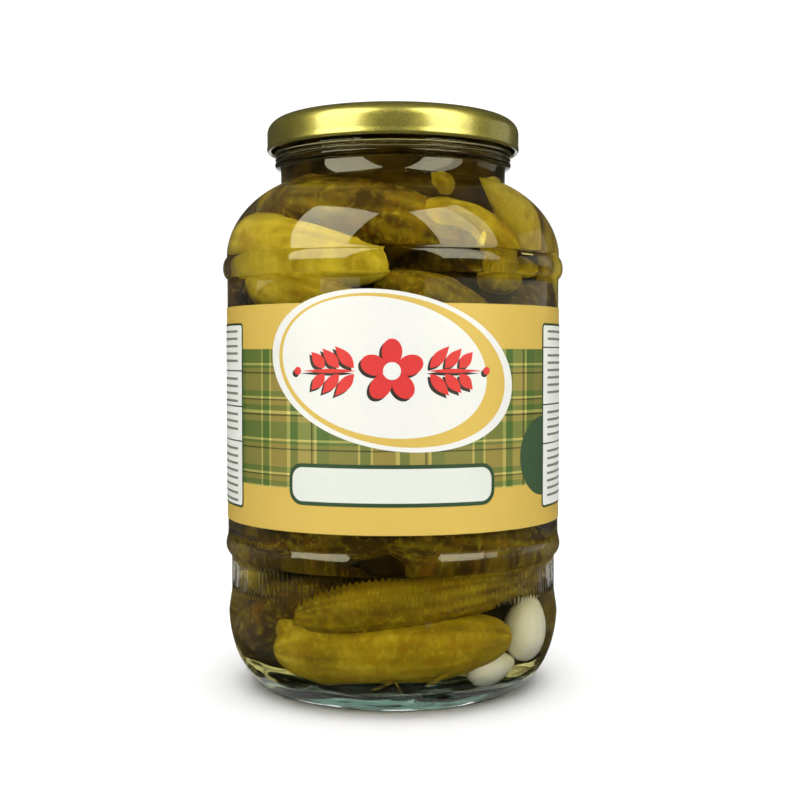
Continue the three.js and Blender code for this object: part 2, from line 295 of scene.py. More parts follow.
def place(tree, stretch=(1, 1, 1)):
    """Object coordinates in metres, scaled along each axis."""
    coordinates = tree.nodes.new("ShaderNodeTexCoord")
    mapping = tree.nodes.new("ShaderNodeMapping")
    mapping.inputs["Scale"].default_value = stretch
    tree.links.new(coordinates.outputs["Object"], mapping.inputs["Vector"])
    return mapping.outputs["Vector"]


def noise_of(tree, vector, scale, detail=4.0, roughness=0.55, distortion=0.0):
    """Noise from 0 to 1; scale is per metre."""
    node = tree.nodes.new("ShaderNodeTexNoise")
    node.inputs["Scale"].default_value = scale
    node.inputs["Detail"].default_value = detail
    node.inputs["Roughness"].default_value = roughness
    node.inputs["Distortion"].default_value = distortion
    tree.links.new(vector, node.inputs["Vector"])
    return node.outputs["Fac"]


def ramp_of(tree, factor, stops):
    """A colour ramp; stops are (place, colour)."""
    node = tree.nodes.new("ShaderNodeValToRGB")
    elements = node.color_ramp.elements
    while len(elements) < len(stops):
        elements.new(0.5)
    for element, (position, color) in zip(elements, stops):
        element.position = position
        element.color = color
    tree.links.new(factor, node.inputs["Fac"])
    return node.outputs["Color"]


def mix_of(tree, factor, first, second):
    """A mix of two colours; factor and colours are sockets or plain values."""
    node = tree.nodes.new("ShaderNodeMix")
    node.data_type = "RGBA"
    for key, value in ((0, factor), (6, first), (7, second)):
        if isinstance(value, bpy.types.NodeSocket):
            tree.links.new(value, node.inputs[key])
        else:
            node.inputs[key].default_value = value
    return node.outputs[2]


def math_of(tree, operation, first, second=0.0, clamp=False):
    """A sum on two numbers, which are sockets or plain values."""
    node = tree.nodes.new("ShaderNodeMath")
    node.operation = operation
    node.use_clamp = clamp
    for key, value in enumerate((first, second)):
        if isinstance(value, bpy.types.NodeSocket):
            tree.links.new(value, node.inputs[key])
        else:
            node.inputs[key].default_value = value
    return node.outputs["Value"]


def attribute_of(tree, name):
    """A value that make_piece keeps at each point of the mesh."""
    node = tree.nodes.new("ShaderNodeAttribute")
    node.attribute_name = name
    return node.outputs["Fac"]


def bump_of(tree, height, shader, distance, strength):
    """Fine relief on the surface; distance is in metres."""
    node = tree.nodes.new("ShaderNodeBump")
    node.inputs["Distance"].default_value = distance
    node.inputs["Strength"].default_value = strength
    tree.links.new(height, node.inputs["Height"])
    tree.links.new(node.outputs["Normal"], shader.inputs["Normal"])


def absorb(tree, color, density):
    """Absorption inside a closed mesh."""
    node = tree.nodes.new("ShaderNodeVolumeAbsorption")
    node.inputs["Color"].default_value = color
    node.inputs["Density"].default_value = density
    tree.links.new(node.outputs["Volume"], tree.nodes["Material Output"].inputs["Volume"])


# Materials


def clear_material(name, ior, mirror):
    """Glass or brine, and its tree. mirror False is for faces that are wet, which reflect little."""
    tint = PURE_WHITE if mirror else BLACK
    return new_material(name, 0.0, IOR=ior, Transmission_Weight=1.0, Base_Color=PURE_WHITE,
                        Specular_Tint=tint)[:2]


def lid_material():
    material, tree, shader = new_material(
        "lid_lacquer", 0.32, Metallic=0.8, Coat_Weight=1.0, Coat_Roughness=0.16)
    grain = noise_of(tree, place(tree), 2400.0, 3.0)
    cloud = noise_of(tree, place(tree), 60.0, 3.0)
    tone = math_of(tree, "ADD", math_of(tree, "MULTIPLY", grain, 0.6), math_of(tree, "MULTIPLY", cloud, 0.4))
    color = ramp_of(tree, tone, ((0.35, rgb(142, 134, 62)), (0.65, rgb(176, 168, 84))))
    tree.links.new(color, shader.inputs["Base Color"])
    roughness = ramp_of(tree, grain, ((0.3, (0.26, 0.26, 0.26, 1)), (0.7, (0.38, 0.38, 0.38, 1))))
    tree.links.new(roughness, shader.inputs["Roughness"])
    bump_of(tree, grain, shader, 0.00004, 0.5)
    return material


def print_material(name, color, roughness=0.42):
    """Ink on coated paper: a colour with a faint fibre grain."""
    material, tree, shader = new_material(name, roughness)
    fibre = noise_of(tree, place(tree), 1500.0, 4.0)
    dark = tuple(c * FIBRE_SHADE for c in color[:3]) + (1,)
    tree.links.new(ramp_of(tree, fibre, ((0.3, dark), (0.7, color))), shader.inputs["Base Color"])
    bump_of(tree, fibre, shader, 0.000012, 0.5)
    return material


def gherkin_material(name, deep, middle, light):
    """Skin of a pickled gherkin: streaks along it, mottling and pale netting."""
    material, tree, shader = new_material(name, 0.6, Specular_IOR_Level=0.03)
    vector = place(tree)
    broad = noise_of(tree, vector, 90.0, 3.0, 0.5, 0.3)
    fine = noise_of(tree, vector, 420.0, 5.0, 0.65, 0.6)
    broad_part = math_of(tree, "MULTIPLY", broad, 0.45)
    fine_part = math_of(tree, "MULTIPLY", fine, 0.25)
    streak_part = math_of(tree, "MULTIPLY", attribute_of(tree, "streak"), 0.3)
    tone = math_of(tree, "ADD", math_of(tree, "ADD", broad_part, fine_part), streak_part)
    # Each gherkin's tone: its own colour, and painted shade on the ones that lie deeper
    tone = math_of(tree, "ADD", tone, attribute_of(tree, "tone"))
    color = ramp_of(tree, tone, ((0.2, deep), (0.5, middle), (0.8, light)))
    blotch = noise_of(tree, vector, 150.0, 4.0, 0.7, 0.4)
    blush = ramp_of(tree, blotch, ((0.5, BLACK), (0.72, PURE_WHITE)))
    color = mix_of(tree, math_of(tree, "MULTIPLY", blush, 0.5), color, rgb(150, 98, 14))
    wart = math_of(tree, "MULTIPLY", attribute_of(tree, "wart"), 0.3)
    color = mix_of(tree, wart, color, light)
    netting = ramp_of(tree, fine, ((0.56, BLACK), (0.66, PURE_WHITE)))
    color = mix_of(tree, math_of(tree, "MULTIPLY", netting, 0.22), color, light)
    tree.links.new(color, shader.inputs["Base Color"])
    bump_of(tree, fine, shader, 0.0008, 0.6)
    return material


def garlic_material():
    material, tree, shader = new_material("garlic", 0.35, Subsurface_Weight=0.25, Subsurface_Scale=0.004,
                                          Subsurface_Radius=(1.0, 0.9, 0.6))
    veins = noise_of(tree, place(tree, (1, 1, 0.25)), 300.0, 4.0)
    color = ramp_of(tree, veins, ((0.3, rgb(244, 241, 226)), (0.7, rgb(255, 253, 246))))
    tree.links.new(color, shader.inputs["Base Color"])
    bump_of(tree, veins, shader, 0.0003, 0.4)
    return material


# Jar


def inside_wall(grow=0.0):
    """The inside of the glass from the mouth down to the floor's edge, moved outwards by grow."""
    steps = 24
    wall = joined(
        [[MOUTH_R + 0.6, RIM_Z - 0.8], [MOUTH_R + 0.1, RIM_Z - 3], [MOUTH_R, RIM_Z - 5]],
        bezier([MOUTH_R, NECK_LOW_Z - 1.2], [45.4, 163.8], [SHOULDER_R - WALL, 155.2],
               [SHOULDER_R - WALL, SHOULDER_Z], steps),
        bezier([SHOULDER_R - WALL, SHOULDER_Z], [SHOULDER_R - WALL + 0.6, 142.4],
               [BODY_R - WALL + 0.2, 140.5], [BODY_R - WALL, PANEL_HIGH_Z - 2], steps // 3),
        [[BODY_R - WALL, PANEL_LOW_Z + 2]],
        bezier([BODY_R - WALL, PANEL_LOW_Z], [BODY_R - WALL + 0.4, 50.5], [BODY_R - WALL - 1.0, 46.6],
               [WAIST_INNER_R, WAIST_HIGH_Z - 2.5], steps // 3),
        bezier([WAIST_INNER_R, WAIST_LOW_Z + 2.5], [WAIST_INNER_R, 33], [BODY_R - WALL - 0.4, 31],
               [BODY_R - WALL - 0.3, 27], steps // 3),
        bezier([BODY_R - WALL - 0.3, 27], [52.8, 14], [47, FLOOR_EDGE_Z + 0.3],
               [FLOOR_EDGE_R, FLOOR_EDGE_Z], steps),
    )
    wall[:, 0] += grow
    return wall


def floor_line():
    """The inside of the glass from the floor's edge to its middle."""
    return bezier([FLOOR_EDGE_R, FLOOR_EDGE_Z], [30, FLOOR_EDGE_Z], [15, FLOOR_MIDDLE_Z],
                  [0, FLOOR_MIDDLE_Z], 10)


def flute_rings():
    """The waist's fine upright ribs: flat ridges and grooves, which run out at both ends."""
    sides = GLASS_SIDES * FLUTE_SIDES
    turn = np.linspace(0, 2 * math.pi, sides, endpoint=False)
    across = (turn * FLUTE_COUNT / (2 * math.pi)) % 1.0 * 2 - 1
    groove = np.clip((np.abs(across) - FLUTE_RIDGE) / FLUTE_FLANK, 0, 1)
    rings = []
    for z in np.linspace(WAIST_LOW_Z, WAIST_HIGH_Z, FLUTE_RINGS):
        depth = FLUTE_DEPTH * min(1.0, min(z - WAIST_LOW_Z, WAIST_HIGH_Z - z) / FLUTE_FADE)
        rings.append(ring(WAIST_R - depth * groove, z, sides))
    return rings


def make_wavy(points):
    """Move the points near the base a little, but none that it stands on."""
    for point in points:
        low = min(1.0, max(0.0, (WAVE_TOP_Z - point[2]) / WAVE_FADE)) * min(1.0, max(0.0, point[2] - 0.3))
        if low > 0:
            here = Vector((point[0] / WAVE_LENGTH, point[1] / WAVE_LENGTH, point[2] / WAVE_HEIGHT))
            point[:2] *= 1 + WAVE_OUT * low * noise.noise(here)
            here = Vector((point[0] / WAVE_LENGTH + 40, point[1] / WAVE_LENGTH, point[2] / WAVE_HEIGHT))
            point[2] += WAVE_UP * low * noise.noise(here)


def make_jar():
    below = joined(
        bezier([0, PUSH_UP], [20, PUSH_UP], [33, PUSH_UP - 0.2], [FOOT_INNER_R, 0.4], 12),
        [[FOOT_INNER_R + 0.6, 0], [FOOT_OUTER_R, 0]],
        bezier([FOOT_OUTER_R, 0], [48.8, 0], [56, 12], [HEEL_R, HEEL_TOP_Z], 28),
        bezier([HEEL_R, HEEL_TOP_Z], [HEEL_R, 26.8], [WAIST_R, 32.3], [WAIST_R, WAIST_LOW_Z - 0.1], 12),
    )
    above = joined(
        bezier([WAIST_R, WAIST_HIGH_Z + 0.1], [55.6, 45.0], [BEAD_R, 46.4], [BEAD_R, BEAD_Z], 14),
        bezier([BEAD_R, BEAD_Z], [BEAD_R, BEAD_Z + 1.6], [BODY_R + 0.05, BEAD_Z + 2.4],
               [BODY_R, BEAD_Z + 4.6], 12),
        [[BODY_R, PANEL_LOW_Z + 2], [BODY_R, PANEL_HIGH_Z - 2]],
        bezier([BODY_R, PANEL_HIGH_Z], [58.6, 139.4], [58.4, 143.8], [SHOULDER_R, SHOULDER_Z], 18),
        bezier([SHOULDER_R, SHOULDER_Z], [SHOULDER_R, 156], [48.6, 165.6], [NECK_R, NECK_LOW_Z], 36),
        [[NECK_R, NECK_HIGH_Z - 0.6]],
        bezier([NECK_R, NECK_HIGH_Z], [40.6, 175.6], [40.9, 177.2], [FINISH_R, RIDGE_1_Z], 10),
        bezier([FINISH_R, RIDGE_1_Z], [40.5, 177.9], [40.5, 178.8], [FINISH_R + 0.1, RIDGE_2_Z], 8),
        bezier([FINISH_R + 0.1, RIDGE_2_Z], [40.8, 179.3], [40.8, 181.2], [FINISH_R, RIDGE_3_Z], 10),
        [[FINISH_R, RIM_Z - 1]],
        bezier([FINISH_R, RIM_Z - 1], [FINISH_R, RIM_Z], [MOUTH_R + 0.6, RIM_Z + 0.2],
               [MOUTH_R + 0.6, RIM_Z - 0.8], 8),
    )
    inside = joined(inside_wall()[1:], floor_line())
    outside = turned(below, GLASS_SIDES) + flute_rings() + turned(above, GLASS_SIDES)
    points, faces = loft(outside + turned(inside, GLASS_SIDES))
    make_wavy(points)
    outer_points = sum(len(r) for r in outside)
    numbers = [int(min(face) >= outer_points) for face in faces]
    piece = make_piece("glass_jar", points, faces,
                       [clear_material("glass", GLASS_IOR, True)[0],
                        clear_material("glass_wet", GLASS_IOR, False)[0]],
                       numbers=numbers)
    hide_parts("jar")


def make_base_tint():
    """The green of the thick glass in the base, made darker than the glass is as painted shade for the shade
    under the jar: a body inside it that only takes up light.
    """
    outline = joined(
        [[0, PUSH_UP + 0.15], [30, PUSH_UP + 0.1], [FOOT_INNER_R, 0.6], [FOOT_OUTER_R, 0.15]],
        bezier([FOOT_OUTER_R, 0.15], [46, 0.15], [50.5, 4.5], [52.0, 9.0], 12),
        [[49.0, 10.5]],
        bezier([46.5, 10.2], [44, 8.3], [41, FLOOR_EDGE_Z - 0.2], [FLOOR_EDGE_R, FLOOR_EDGE_Z - 0.3], 8),
        floor_line() - [0, 0.3],
    )
    points, faces = loft(turned(outline, 180))
    material, tree = clear_material("glass_green_and_shade", 1.0, True)
    absorb(tree, GLASS_GREEN, GLASS_GREEN_DENSITY)
    make_piece("base_tint", points, faces, [material])


def make_brine():
    wall = inside_wall(BRINE_INTO_WALL)
    wall = wall[wall[:, 1] < BRINE_TOP_Z]
    floor = floor_line()
    floor[:, 1] -= BRINE_INTO_WALL
    outline = joined(floor[::-1], wall[::-1], [[MOUTH_R + BRINE_INTO_WALL, BRINE_TOP_Z], [0, BRINE_TOP_Z]])
    points, faces = loft(turned(outline, GLASS_SIDES))
    material, tree = clear_material("brine", BRINE_IOR, False)
    absorb(tree, BRINE_COLOR, BRINE_DENSITY)
    make_piece("brine", points, faces, [material])


# Lid


def make_lid():
    shoulder_z = LID_TOP_Z - LID_SHOULDER_HEIGHT
    shoulder_r = LID_R - LID_SHOULDER_WIDTH
    inside_r = LID_R - LID_SHEET
    inside_z = LID_TOP_Z - LID_SHEET
    panel_z = LID_PANEL_Z - LID_SHEET
    outline = joined(
        [[0, panel_z], [LID_PANEL_R + 0.2, panel_z]],
        bezier([LID_PANEL_R + 0.2, panel_z], [LID_PANEL_R + 0.9, panel_z],
               [LID_RING_INNER_R - 0.2, inside_z], [LID_RING_INNER_R + 0.4, inside_z], 6),
        bezier([shoulder_r, inside_z], [shoulder_r + 2.9, inside_z], [inside_r, shoulder_z + 2.5],
               [inside_r, shoulder_z], 12),
        [[inside_r, LID_LOW_Z + 2.4]],
        bezier([inside_r, LID_LOW_Z + 2.4], [inside_r - 0.2, LID_LOW_Z + 1.2],
               [LID_R - 1.8, LID_LOW_Z + 1.9], [LID_R - 1.5, LID_LOW_Z + 0.8], 6),
        bezier([LID_R - 1.5, LID_LOW_Z + 0.8], [LID_R - 1.3, LID_LOW_Z - 0.35],
               [LID_R + 0.25, LID_LOW_Z - 0.3], [LID_R, LID_LOW_Z + 1.3], 12),
        bezier([LID_R, LID_LOW_Z + 1.3], [LID_R - 0.15, LID_LOW_Z + 2.0], [LID_R - 0.15, LID_LOW_Z + 2.4],
               [LID_R - 0.1, LID_LOW_Z + 3.2], 4),
        bezier([LID_R - 0.1, shoulder_z], [LID_R - 0.1, shoulder_z + 2.7], [shoulder_r + 3.1, LID_TOP_Z],
               [shoulder_r, LID_TOP_Z], 20),
        bezier([LID_RING_INNER_R + 0.4, LID_TOP_Z], [LID_RING_INNER_R - 0.4, LID_TOP_Z],
               [LID_PANEL_R + 0.8, LID_PANEL_Z], [LID_PANEL_R, LID_PANEL_Z], 8),
        [[LID_PANEL_R - 6, LID_PANEL_Z], [20, LID_PANEL_Z + 0.05], [0, LID_PANEL_Z + 0.1]],
    )
    points, faces = loft(turned(outline, LID_SIDES))
    lid = make_piece("twist_lid", points, faces, [lid_material()])
    lid.data.set_sharp_from_angle(angle=math.radians(50))
    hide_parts("lid")
    make_lugs(lid.data.materials[0])


def make_lugs(material):
    points = []
    faces = []
    steps = 8
    section = [(LID_R - 0.7, LUG_LOW_Z), (LUG_INNER_R + 0.3, LUG_LOW_Z), (LUG_INNER_R, LUG_LOW_Z + 0.4),
               (LUG_INNER_R, LUG_HIGH_Z - 0.3), (LUG_INNER_R + 0.4, LUG_HIGH_Z), (LID_R - 0.7, LUG_HIGH_Z)]
    count = len(section)
    for lug in range(LUG_COUNT):
        start = len(points)
        for i in range(steps + 1):
            turn = math.radians((lug + 0.5) * 360 / LUG_COUNT + LUG_ARC * (i / steps - 0.5))
            points += [(r * math.cos(turn), r * math.sin(turn), z) for r, z in section]
        for i in range(steps):
            a = start + i * count
            faces += [(a + k, a + (k + 1) % count, a + count + (k + 1) % count, a + count + k)
                      for k in range(count)]
        faces.append(tuple(start + k for k in reversed(range(count))))
        faces.append(tuple(start + steps * count + k for k in range(count)))
    make_piece("lid_lugs", points, faces, [material], smooth=False)


# Label


def bend(points, radius):
    """Flat points (along, height, out) wrapped round the jar, in millimetres."""
    points = np.asarray(points, float)
    turn = points[:, 0] / BODY_R
    r = radius + points[:, 2]
    return np.stack([r * np.sin(turn), -r * np.cos(turn), points[:, 1]], axis=1)


def laid(x, y, along, z, tilt):
    """An outline on the flat label, turned by tilt in degrees and moved to (along, z)."""
    a = math.radians(tilt)
    return np.stack([along + x * math.cos(a) - y * math.sin(a), z + x * math.sin(a) + y * math.cos(a)], axis=1)


def ellipse(along, z, width, height, tilt=0.0, steps=96):
    """An oval's edge."""
    t = np.linspace(0, 2 * math.pi, steps, endpoint=False)
    return laid(width / 2 * np.cos(t), height / 2 * np.sin(t), along, z, tilt)


def leaf_outline(along, z, length, width, tilt):
    """A pointed leaf that starts at (along, z) and points along tilt."""
    t = np.linspace(0, 1, 16)
    half = width / 2 * np.sin(math.pi * t ** 0.85) ** 1.1
    x = np.concatenate([t, t[::-1][1:-1]]) * length
    y = np.concatenate([half, -half[::-1][1:-1]])
    return laid(x, y, along, z, tilt)


def rounded_box(left, right, low, high, corner):
    """A box with round corners."""
    outline = []
    for x, y, first in ((right, high, 0), (left, high, 90), (left, low, 180), (right, low, 270)):
        cx = x - corner if x == right else x + corner
        cy = y - corner if y == high else y + corner
        for a in np.radians(np.linspace(first, first + 90, 9)):
            outline.append((cx + corner * math.cos(a), cy + corner * math.sin(a)))
    return np.array(outline)


def flat_sheet(outline, cuts, thickness):
    """A flat outline cut into strips at the cuts, so that it bends, and thickened."""
    flat = bmesh.new()
    flat.faces.new([flat.verts.new((u, v, 0)) for u, v in outline])
    for cut in cuts:
        everything = flat.verts[:] + flat.edges[:] + flat.faces[:]
        bmesh.ops.bisect_plane(flat, geom=everything, dist=0.00001, plane_co=(cut, 0, 0), plane_no=(1, 0, 0))
    made = bmesh.ops.extrude_face_region(flat, geom=flat.faces[:])
    for vertex in made["geom"]:
        if isinstance(vertex, bmesh.types.BMVert):
            vertex.co.z += thickness
    return flat


def wrap(bm, flat, radius, number):
    """Bend a flat sheet round the jar, and add it to bm with the material of that number."""
    bmesh.ops.recalc_face_normals(flat, faces=flat.faces[:])
    flat.verts.index_update()
    copies = [bm.verts.new(Vector(p) * MM) for p in bend([v.co for v in flat.verts], radius)]
    for face in flat.faces:
        copy = bm.faces.new([copies[v.index] for v in face.verts])
        copy.material_index = number
        copy.smooth = True
    flat.free()


def add_shape(bm, outline, number, level):
    """A printed shape, some films of ink above the paper."""
    low, high = min(u for u, _ in outline), max(u for u, _ in outline)
    cuts = [i * STRIP for i in range(math.floor(low / STRIP) + 1, math.ceil(high / STRIP))]
    wrap(bm, flat_sheet(outline, cuts, FILM * 0.8), PAPER_R + PAPER_THICKNESS + level * FILM, number)


def finish_print(name, bm, materials):
    """The mesh of a printed layer as a piece that rides on the body."""
    mesh = bpy.data.meshes.new(name)
    bm.to_mesh(mesh)
    bm.free()
    for material in materials:
        mesh.materials.append(material)
    mesh.set_sharp_from_angle(angle=math.radians(40))
    piece = bpy.data.objects.new(name, mesh)
    bpy.context.scene.collection.objects.link(piece)
    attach(piece, BODY)
    return piece


GOLD = rgb(219, 185, 80)
WHITE = rgb(236, 236, 229)


def paper_outline():
    """The sheet's edge: straight, but for the oval that rises over the top at the front."""
    half = math.pi * BODY_R
    oval = ellipse(0, OVAL_Z, OVAL_WIDTH, OVAL_HEIGHT, OVAL_TILT, 240)
    crest = [tuple(p) for p in oval if p[1] > LABEL_HIGH_Z]
    crest.sort(key=lambda p: p[0])
    right = half + OVERLAP
    return [(-half, LABEL_LOW_Z), (right, LABEL_LOW_Z), (right, LABEL_HIGH_Z)] + crest[::-1] + [
        (-half, LABEL_HIGH_Z)]


def make_paper():
    """The sheet itself, wrapped round the jar, with its end lapped over its start."""
    half = math.pi * BODY_R
    cuts = [i * half / PAPER_STRIPS for i in range(1 - PAPER_STRIPS, PAPER_STRIPS + 1)]
    flat = flat_sheet(paper_outline(), cuts, PAPER_THICKNESS)
    for vertex in flat.verts:
        lap = (vertex.co.x - (half - 6)) / 6
        vertex.co.z += (PAPER_THICKNESS + 0.02) * min(1.0, max(0.0, lap))
    bm = bmesh.new()
    wrap(bm, flat, PAPER_R, 0)
    paper = finish_print("label_paper", bm, [print_material("gold_ground", GOLD, 0.38)])
    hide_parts("label")


# The tartan's threads, and one repeat of its stripes as (width in mm, thread), across and downwards
THREADS = {"green": (76, 106, 38), "olive": (148, 132, 54), "gold": (220, 204, 108), "dark": (32, 36, 12),
           "light": (174, 162, 76), "dull": (112, 120, 50)}
ACROSS = [(0.7, "gold"), (3.2, "green"), (0.7, "gold"), (6.85, "olive"), (1.3, "gold"), (2.9, "green"),
          (4.75, "light"), (0.5, "dark"), (0.65, "olive"), (0.8, "gold"), (4.2, "green"), (9.15, "dull")]
DOWN = [(0.7, "gold"), (0.9, "green"), (1.25, "olive"), (0.5, "dark"), (5.35, "olive"), (1.75, "green"),
        (0.7, "gold"), (0.45, "dark"), (1.5, "olive"), (1.7, "green"), (1.0, "gold"), (0.6, "dark"),
        (1.8, "olive"), (5.3, "green")]
ACROSS_START = -10.35
DOWN_START = -109.9
TARTAN_HALF = 58.0
TARTAN_LOW_Z = 71.2
TARTAN_HIGH_Z = 114.3


def sett_edges(sett, low, high, start):
    """The lines between low and high where a row of stripes changes, and each stripe's thread."""
    repeat = sum(width for width, _ in sett)
    position = start - repeat * math.ceil((start - low) / repeat)
    edges = [low]
    threads = []
    index = 0
    while position < high:
        width, thread = sett[index % len(sett)]
        position += width
        index += 1
        if position > low:
            edges.append(min(position, high))
            threads.append(thread)
    return edges, threads


def make_tartan():
    """The tartan ground. Where two threads cross, the colour is halfway between theirs."""
    across, across_threads = sett_edges(ACROSS, -TARTAN_HALF, TARTAN_HALF, ACROSS_START)
    down, down_threads = sett_edges(DOWN, -TARTAN_HIGH_Z, -TARTAN_LOW_Z, DOWN_START)
    pairs = sorted({tuple(sorted((a, b))) for a in across_threads for b in down_threads})
    materials = [print_material("tartan_" + "_".join(pair),
                                rgb(*((THREADS[pair[0]][i] + THREADS[pair[1]][i]) / 2 for i in range(3))))
                 for pair in pairs]
    bm = bmesh.new()
    radius = PAPER_R + PAPER_THICKNESS + FILM
    for left, right, a in zip(across, across[1:], across_threads):
        pieces = max(1, math.ceil((right - left) / STRIP))
        lines = np.linspace(left, right, pieces + 1)
        for high, low, b in zip(down, down[1:], down_threads):
            number = pairs.index(tuple(sorted((a, b))))
            for u0, u1 in zip(lines, lines[1:]):
                corners = bend([(u0, -low, 0), (u1, -low, 0), (u1, -high, 0), (u0, -high, 0)], radius)
                face = bm.faces.new([bm.verts.new(Vector(p) * MM) for p in corners])
                face.material_index = number
                face.smooth = True
    bmesh.ops.remove_doubles(bm, verts=bm.verts[:], dist=0.000001)
    finish_print("label_tartan", bm, materials)


# The ornament in the oval: petals round a flower, and leaves on a stem at each side
FLOWER_Z = 107.6
PETALS = 5
PETAL_OUT = 5.8
STEM_START = 11.0
STEM_LENGTH = 17.5
SPRIG_LEAVES = ((11.5, 9.0), (16.2, 8.0), (20.9, 6.6))
LEAF_TILT = 48
DOT_OUT = 30.2
SHADOW = 0.8


def make_emblem():
    """The oval: white, a gold ring, white, and a plain ornament of a flower and leaf sprigs."""
    materials = [print_material("oval_white", WHITE), print_material("oval_gold", GOLD),
                 print_material("motif_red", rgb(222, 36, 36)),
                 print_material("motif_shadow", rgb(44, 34, 30))]
    bm = bmesh.new()
    add_shape(bm, ellipse(0, OVAL_Z, OVAL_WIDTH, OVAL_HEIGHT, OVAL_TILT), 0, 2)
    add_shape(bm, ellipse(-0.1, OVAL_Z + 0.1, OVAL_WIDTH - 6.2, OVAL_HEIGHT - 2.6, OVAL_TILT), 1, 3)
    add_shape(bm, ellipse(-2.9, OVAL_Z + 1.0, OVAL_WIDTH - 14.8, OVAL_HEIGHT - 6, OVAL_TILT), 0, 4)
    motif = []
    for petal in range(PETALS):
        turn = 90 + petal * 360 / PETALS
        angle = math.radians(turn)
        motif.append(ellipse(PETAL_OUT * math.cos(angle), FLOWER_Z + PETAL_OUT * math.sin(angle), 8.0, 6.2,
                             turn, 32))
    for side in (-1, 1):
        outwards = 90 - side * 90
        motif.append(leaf_outline(side * STEM_START, FLOWER_Z, STEM_LENGTH, 1.3, outwards))
        for along, length in SPRIG_LEAVES:
            for up in (-1, 1):
                motif.append(leaf_outline(side * along, FLOWER_Z + up * 0.9, length, 3.6,
                                          outwards + side * up * LEAF_TILT))
        motif.append(ellipse(side * DOT_OUT, FLOWER_Z, 2.4, 2.4, 0, 24))
    for outline in motif:
        add_shape(bm, outline - SHADOW, 3, 5)
    for outline in motif:
        add_shape(bm, outline, 2, 6)
    add_shape(bm, ellipse(0, FLOWER_Z, 5.4, 5.4, 0, 32), 0, 7)
    finish_print("label_oval", bm, materials)


# The side panels: which side, and the heights of the lines across from the top down
PANELS = [
    (-1, (107.3, 95.8, 84.6)),
    (1, (114.9, 96.4, 83.8)),
]
PANEL_NEAR = 57.2
PANEL_FAR = 118.0
PANEL_BASE_Z = 63.1
PANEL_TOP_Z = 122.7
PANEL_FRAME = 0.7
BAR_STEP = 2.4
BAR_HALF = 0.4

# The name plate's edge and its white, as left, right, low, high and corner, and the half oval
PLATE = (-33.6, 33.4, 66.3, 79.2, 4.6)
PLATE_WHITE = (-32.4, 32.2, 67.5, 78.0, 3.6)
HALF_OVAL = (57.2, 80.2, 25.4, 25.4)


def make_panel(bm, side, rows):
    """A side panel: white in a green frame, ruled into rows, with plain bars for its contents."""
    left, right = sorted((side * PANEL_NEAR, side * PANEL_FAR))
    add_shape(bm, rounded_box(left, right, PANEL_BASE_Z, PANEL_TOP_Z, 1.6), 1, 3)
    inner = rounded_box(left + PANEL_FRAME, right - PANEL_FRAME, PANEL_BASE_Z + PANEL_FRAME,
                        PANEL_TOP_Z - PANEL_FRAME, 1.1)
    # The white inside the frame is painted light: lighter than the plate's white, for the dimmer light on the
    # label's sides
    add_shape(bm, inner, 4, 4)
    for z in rows:
        add_shape(bm, rounded_box(left + 0.4, right - 0.4, z - 0.2, z + 0.2, 0.15), 1, 5)
    number = 0
    for top, bottom in zip((PANEL_TOP_Z,) + rows, rows + (PANEL_BASE_Z,)):
        z = top - 2.6
        while z > bottom + 1.6:
            width = (right - left - 8) * (0.45 + 0.5 * chance(number, side))
            near = side * (PANEL_NEAR + 4)
            start, end = sorted((near, near + side * width))
            add_shape(bm, rounded_box(start, end, z - BAR_HALF, z + BAR_HALF, 0.3), 3, 5)
            z -= BAR_STEP
            number += 1


def make_plates():
    """The name plate under the oval, the side panels, and the half oval at the right panel."""
    materials = [print_material("plate_white", rgb(226, 231, 220)),
                 print_material("plate_green", rgb(36, 72, 40)),
                 print_material("half_oval_green", rgb(57, 88, 56)),
                 print_material("plate_grey", rgb(128, 142, 124)),
                 # The label's white made lighter as painted light, for the dimmer light on the label's sides
                 print_material("panel_white_painted_light", rgb(244, 245, 236))]
    bm = bmesh.new()
    add_shape(bm, rounded_box(*PLATE), 1, 2)
    add_shape(bm, rounded_box(*PLATE_WHITE), 0, 3)
    add_shape(bm, ellipse(*HALF_OVAL), 2, 2)
    for side, rows in PANELS:
        make_panel(bm, side, rows)
    finish_print("label_plates", bm, materials)
